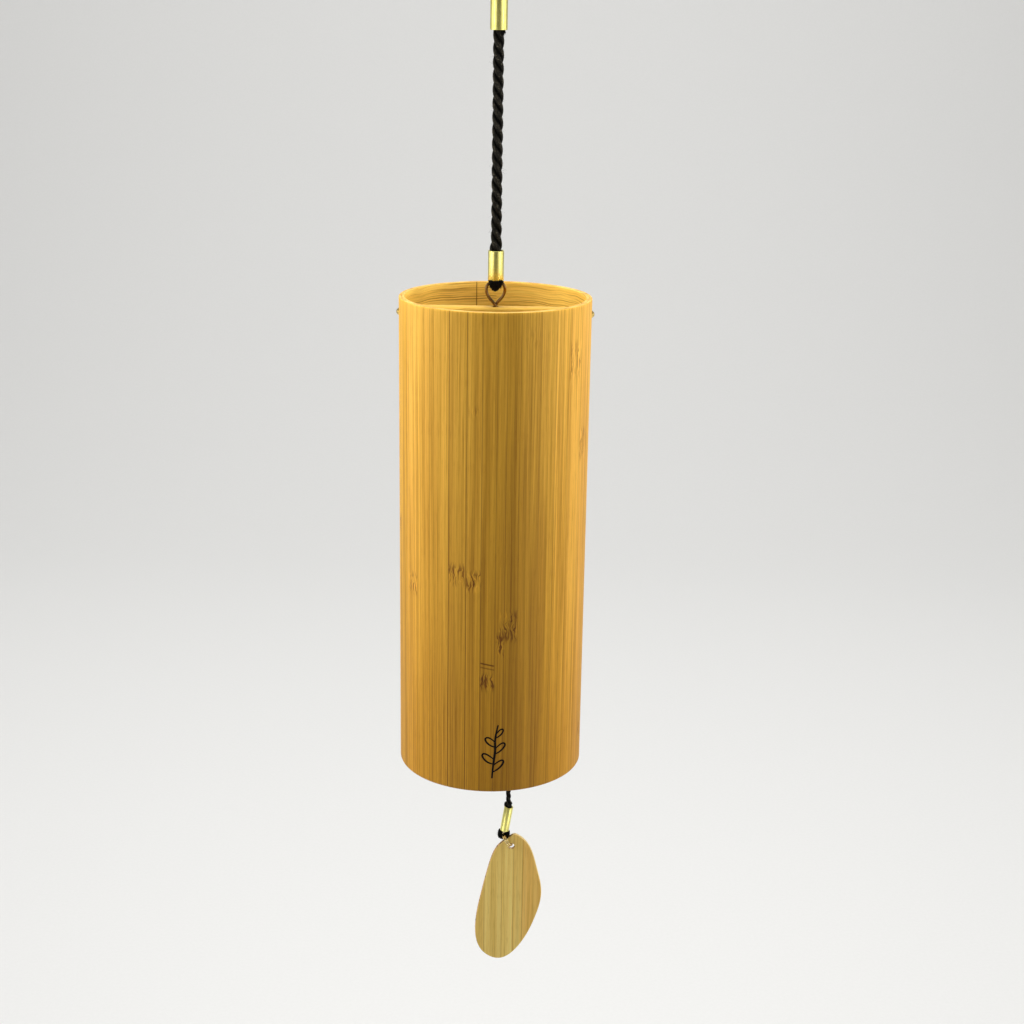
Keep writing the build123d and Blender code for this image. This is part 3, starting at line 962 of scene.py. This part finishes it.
def wire_piece():
    """The bent wire, smooth and round all along."""
    line = Line("wire_line", [(Vector(p) + UP * rim_z / MM) * MM for p in WIRE_ROUTE_MM])
    shell = Shell()
    side = ACROSS
    rings = []
    for i in range(WIRE_STEPS + 1):
        s = line.length * i / WIRE_STEPS
        way = line.way(min(max(s, 0.1 * MM), line.length - 0.1 * MM), 0.09 * MM)
        side = (side - way * side.dot(way)).normalized()
        other = way.cross(side)
        end = min(s, line.length - s) / MM
        size = WIRE_RADIUS * (0.72 + 0.28 * smoothstep(0, 0.15, end))  # rounded at its ends
        rings.append(circle(line.at(s), side, other, size, 24))
    shell.add_tube(rings, 0.1, 0.13)
    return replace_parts(make("bent_wire", shell, [material["wire"]], "chime"), "hanger_wire")


wire_piece()

# All the drawn cord pieces in one list
cords_drawn += [loop_cord, hanging_rope, striker_rope, sail_rope]
cords_drawn += [loop_fuzz, cord_fuzz, striker_fuzz, sail_fuzz, mouth_tail, disc_knots]

# Bamboo tube

OUTER_PLY, INNER_PLY, GLUE = 0.9, 1.0, 0.05
COLUMN_STEP = 1.5  # degrees
GROOVE_DEPTH = 0.05
# Joints between the outer ply's strips, in degrees from the front, and each front strip's tone,
# partly its own and partly painted shade: darkest in the middle, paler towards the lit sides
STRIP_JOINTS = [-171, -158.5, -147, -134, -123, -111.5, -99, -88, -76, -63.5, -51, -40]
STRIP_JOINTS += [-26.2, -15.0, -6.0, 2.6, 8.2, 16.0, 28.6, 39.2, 50.0, 62.5, 74]
STRIP_JOINTS += [87, 99.5, 112, 124, 137, 149, 161.5, 174]
FRONT_TONES_WITH_SHADE = {-63.5: 0.62, -51: 0.56, -40: 0.45, -26.2: 0.33, -15.0: 0.31, -6.0: 0.21, 2.6: 0.2}
FRONT_TONES_WITH_SHADE.update({8.2: 0.15, 16.0: 0.26, 28.6: 0.36, 39.2: 0.52, 50.0: 0.6})
# How dark a joint's glue line is; the rest are faint
DARK_JOINTS = {-26.2: 0.95, -15.0: 0.9, -6.0: 0.6, 31.0: 1.0, -166.6: 1.0}
# Node marks: from and to in degrees, top and bottom in millimetres from the rim, strength
NODES = [
    (-61, -51, -90.5, -97, 0.8),
    (-26, -15.6, -83.5, -90, 0.9),
    (-14.8, -6.0, -85.5, -92, 1.0),
    (4.0, 8.4, -106, -114, 1.0),
    (6.0, 16.0, -99, -109, 0.9),
    (-6.0, 2.6, -120.5, -126.5, 1.0),
    (50.5, 62, -11.5, -23.5, 0.5),
    (62.5, 73.5, -41, -51, 0.6),
    (-13.5, -8.5, -30.5, -33.5, 0.5),
    (18.0, 27.0, -5.5, -11.0, 0.22),
]


def tone_of(angle, joints):
    """The tone of the strip that holds an angle, with painted shade on the front strips."""
    starts = [j for j in joints if j <= angle]
    start = starts[-1] if starts else joints[-1]
    return FRONT_TONES_WITH_SHADE.get(start, random.Random(3 + int(start * 10)).uniform(0.3, 0.72))


def round_angles(joints, gap):
    """Angles all round, with a close set of five at each joint. gap is a joint's half width."""
    near_joint = [j + d * gap for j in joints for d in (-1.1, -0.45, 0, 0.45, 1.1)]
    plain_ones = [-180 + i * COLUMN_STEP for i in range(int(360 / COLUMN_STEP))]
    kept = [a for a in plain_ones if all(abs(a - j) > 2 * gap for j in joints)]
    return sorted(kept + near_joint)


def knot_mark(angle, height):
    """How strongly a point of the outer wall is inside a node mark, from 0 to 1."""
    best = 0.0
    for left, right, top, bottom, strength in all_nodes:
        part = smoothstep(left - 0.8, left + 0.6, angle)
        part *= smoothstep(right + 0.8, right - 0.6, angle)
        part *= smoothstep(bottom - 1.5, bottom + 1.5, height)
        part *= smoothstep(top + 1.5, top - 1.5, height)
        best = max(best, part * strength)
    return best


def glue_line(angle, joints):
    """How dark the glue line is at the joint nearest to an angle."""
    joint = min(joints, key=lambda j: abs(angle - j))
    return DARK_JOINTS.get(joint, 0.25 + 0.35 * random.Random(int(joint * 10) + 900).random())


def far_nodes():
    """Node marks on the strips that the front view doesn't show."""
    draw = random.Random(5)
    made = []
    for left, right in zip(STRIP_JOINTS, STRIP_JOINTS[1:]):
        if left < -76 or left > 73:
            top = draw.uniform(-150, -8)
            made.append((left, right, top, top - draw.uniform(4, 9), 0.9))
    return made


all_nodes = NODES + far_nodes()


def ply(name, node, outer, inner, joints, gap, faces_out, row_step, round_mm, materials):
    """One ply of the tube: its shown wall has the grain, and its rim faces the end grain."""
    shell = Shell()
    angles = round_angles(joints, gap)
    height = tube_height / MM
    rows = int(height / row_step)
    shown, hidden = (outer, inner) if faces_out else (inner, outer)
    sign = 1 if faces_out else -1
    # The section, as (radius, height, whether it is end grain)
    edge, bevel, step = shown - sign * round_mm, 0.3 * round_mm, (height - 2 * round_mm) / rows
    wall = [(edge, -height, 1), (shown - sign * bevel, -height + bevel, 0)]
    wall += [(shown, -height + round_mm + i * step, 0) for i in range(rows + 1)]
    wall += [(shown - sign * bevel, -bevel, 1), (edge, 0, 1)]
    back = [(hidden, 0, 1), (hidden, -height, 1)]
    loop = wall + back if faces_out else list(reversed(wall)) + list(reversed(back))
    for radius, z, _ in loop:
        for angle in angles:
            distance = min(abs(angle - j) for j in joints)
            groove = max(0.0, 1 - distance / gap)
            on_wall = abs(radius - shown) < 0.5 * round_mm
            r = radius - sign * GROOVE_DEPTH * groove * on_wall
            a = radians(angle)
            shell.verts.append(Vector((r * sin(a), -r * cos(a), z + rim_z / MM)) * MM)
            shell.seam.append(groove * on_wall * glue_line(angle, joints))
            shell.knot.append(knot_mark(angle, z) if faces_out and on_wall else 0.0)
    count, columns = len(loop), len(angles)
    for i in range(count):
        n = (i + 1) % count
        slot = 1 if loop[i][2] and loop[n][2] else 0
        for j in range(columns):
            k = (j + 1) % columns
            u, x = angles[j], angles[k] + (360 if k == 0 else 0)
            v, w = loop[i][1], loop[n][1]
            corners = (i * columns + j, i * columns + k, n * columns + k, n * columns + j)
            tone = tone_of((u + x) / 2, joints)
            shell.add_face(corners, [(u, v), (x, v), (x, w), (u, w)], slot, tone)
    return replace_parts(make(name, shell, materials, "chime"), node)


radius_mm = tube_radius / MM
lining = radius_mm - OUTER_PLY - GLUE
INNER_JOINTS = [-166.6, 31.0]
outer_wall = ply(
    "outer_wall", "outer_ply", radius_mm, radius_mm - OUTER_PLY, STRIP_JOINTS,
    0.36, True, 1.0, 0.3, [material["outer"], material["rim"]],
)
inner_wall = ply(
    "inner_wall", "inner_ply", lining, lining - INNER_PLY, INNER_JOINTS,
    0.55, False, 2.0, 0.2, [material["inner"], material["rim"]],
)

# An ink sprig near the foot: strokes as (angle from the front, millimetres below the rim)
SPRIG = [
    ([(2.0, 158.5), (2.6, 153.5), (4.0, 148.5), (3.4, 143.5), (5.4, 139.0)], 0.8),
    ([(2.2, 156.2), (6.0, 155.2), (9.8, 152.2), (7.0, 151.6), (2.9, 153.6)], 0.68),
    ([(2.6, 153.2), (-1.2, 152.8), (-5.0, 149.8), (-1.6, 149.2), (2.9, 151.4)], 0.68),
    ([(3.5, 149.6), (6.8, 148.8), (10.6, 146.0), (7.6, 145.2), (3.8, 147.6)], 0.64),
    ([(3.7, 147.0), (0.4, 146.6), (-3.2, 144.0), (0.2, 143.2), (3.6, 145.2)], 0.64),
    ([(3.6, 143.8), (7.0, 143.0), (9.2, 140.4), (6.2, 140.6), (4.2, 142.4)], 0.6),
]
STROKE_STEPS = 26
# A stroke's section: place across it, and height over the wall in millimetres
STROKE_SECTION = ((-1, 0), (-0.6, 0.03), (0.6, 0.03), (1, 0), (0.6, -0.05), (-0.6, -0.05))


def sprig():
    """Brush strokes lying on the outer wall."""
    shell = Shell()
    scale = radians(1) * radius_mm
    for stroke, width in SPRIG:
        flat = Line("stroke", [Vector((a, 0, -h)) for a, h in stroke])
        rows = []
        for i in range(STROKE_STEPS + 1):
            s = flat.length * i / STROKE_STEPS
            point, way = flat.at(s), flat.way(s, 0.05)
            side = Vector((way.z, 0, -way.x * scale)).normalized()
            half = width / 2 * (0.45 + 0.55 * sin(pi * (0.12 + 0.8 * i / STROKE_STEPS)))
            row = []
            for place, lift in STROKE_SECTION:
                angle = radians(point.x + side.x * half * place / scale)
                r = radius_mm + lift
                z = point.z + side.z * half * place + rim_z / MM
                row.append(Vector((r * sin(angle), -r * cos(angle), z)) * MM)
            rows.append(row)
        shell.add_tube(rows, 0.5)
    return make("ink_sprig", shell, [material["ink"]], "chime")


sprig()

# CAD nodes that stay

for node_name, key, width in (
    ("crossbar", "bar", 0.22),
    ("leaf", "leaf", 0),
    ("split_ring", "ring", 0),
    ("side_nails", "nail", 0.06),
    ("tine_plate", "plate", 0.2),
    ("braze_fillets", "braze", 0),
    ("striker_disc", "disc", 0),
    *((f"tine_{n}", "tine", 0.25) for n in range(1, 9)),
):
    node = frame["nodes"][node_name]
    node.data.materials.clear()
    node.data.materials.append(material[key])
    if width:
        soften(node, width * MM)

# Stage and light


def paper():
    """Pale backdrop paper with a faint fine tooth."""
    paint = Paint("sweep_paper", Roughness=0.9, Specular_IOR_Level=0.1)
    tooth = paint.noise(paint.spot(), 260.0, 2.0)
    colour = paint.ramp(tooth, [(0.3, (0.800, 0.800, 0.792)), (0.7, (0.815, 0.815, 0.808))])
    paint.base(colour)
    return paint.material


def add_stage():
    """A pale floor that sweeps up into a backdrop."""
    floor_z, reach, bend = -1.1, 2.6, 1.4
    section = [(-6.0, floor_z), (reach, floor_z)]
    for i in range(1, 13):
        a = radians(90 * i / 12)
        section.append((reach + bend * sin(a), floor_z + bend * (1 - cos(a))))
    section.append((reach + bend, 6.0))
    verts = [(x, y, z) for y, z in section for x in (-7.0, 7.0)]
    faces = [(2 * i, 2 * i + 1, 2 * i + 3, 2 * i + 2) for i in range(len(section) - 1)]
    mesh = bpy.data.meshes.new("sweep")
    mesh.from_pydata(verts, [], faces)
    mesh.polygons.foreach_set("use_smooth", [True] * len(faces))
    mesh.materials.append(paper())
    add_object("sweep", mesh)


def add_light(name, place, target, size, radiance, colour=(1, 1, 1)):
    """A soft rectangular lamp, placed from the middle of the rim, that faces its target."""
    lamp = bpy.data.lights.new(name, "AREA")
    lamp.shape = "RECTANGLE"
    lamp.size, lamp.size_y = size
    lamp.energy = radiance * 4 * size[0] * size[1]
    lamp.color = colour
    made = add_object(name, lamp)
    made.location = Vector(place) + Vector((0, 0, rim_z))
    heading = Vector(target) + Vector((0, 0, rim_z)) - made.location
    made.rotation_mode = "QUATERNION"
    made.rotation_quaternion = heading.to_track_quat("-Z", "Y")
    made.visible_camera = False
    return made


WARM = (1.0, 0.97, 0.91)


def add_pair(name, azimuth, reach, height, size, radiances, glossy=True, diffuse=True):
    """Two upright lamps, left and right, at an angle from the front."""
    a = radians(azimuth)
    for side, sign, radiance in zip(("left", "right"), (-1, 1), radiances):
        place = (sign * reach * sin(a), -reach * cos(a), height)
        lamp = add_light(f"{side}_{name}", place, (0, 0, height), size, radiance, WARM)
        lamp.visible_glossy = glossy
        lamp.visible_diffuse = diffuse


add_stage()
add_pair("low_front", 50, 0.5, -0.02, (0.34, 0.20), (0.85, 0.75))
add_pair("low_side", 91, 0.5, -0.02, (0.40, 0.20), (0.9, 0.8))
add_pair("glow", 50, 0.5, 0.14, (0.34, 0.12), (1.0, 1.0), diffuse=False)
add_pair("side_glow", 91, 0.5, 0.14, (0.40, 0.12), (0.9, 0.9), diffuse=False)
add_pair("foot_glow", 52, 0.5, -0.48, (0.34, 0.26), (1.05, 1.0), diffuse=False)
add_pair("high_side", 84, 0.42, 0.29, (0.46, 0.42), (3.7, 2.7), glossy=False)
add_pair("edge_strip", 63, 0.45, 0.08, (0.025, 0.45), (4.5, 4.5))
add_light("top_box", (0.0, -0.1, 0.75), (0, 0, -0.1), (0.5, 0.4), 1.8, (1.0, 0.98, 0.94))
wash = add_light("backdrop_wash", (0.0, 0.6, 2.6), (0, 2.6, -1.1), (2.5, 1.5), 8.0)
wash.visible_glossy = False
world = bpy.data.worlds.new("studio")
bpy.context.scene.world = world
world.use_nodes = True
background = world.node_tree.nodes["Background"].inputs
background["Color"].default_value = (0.90, 0.88, 0.83, 1)
background["Strength"].default_value = 0.22
bpy.context.scene.view_settings.view_transform = "Standard"
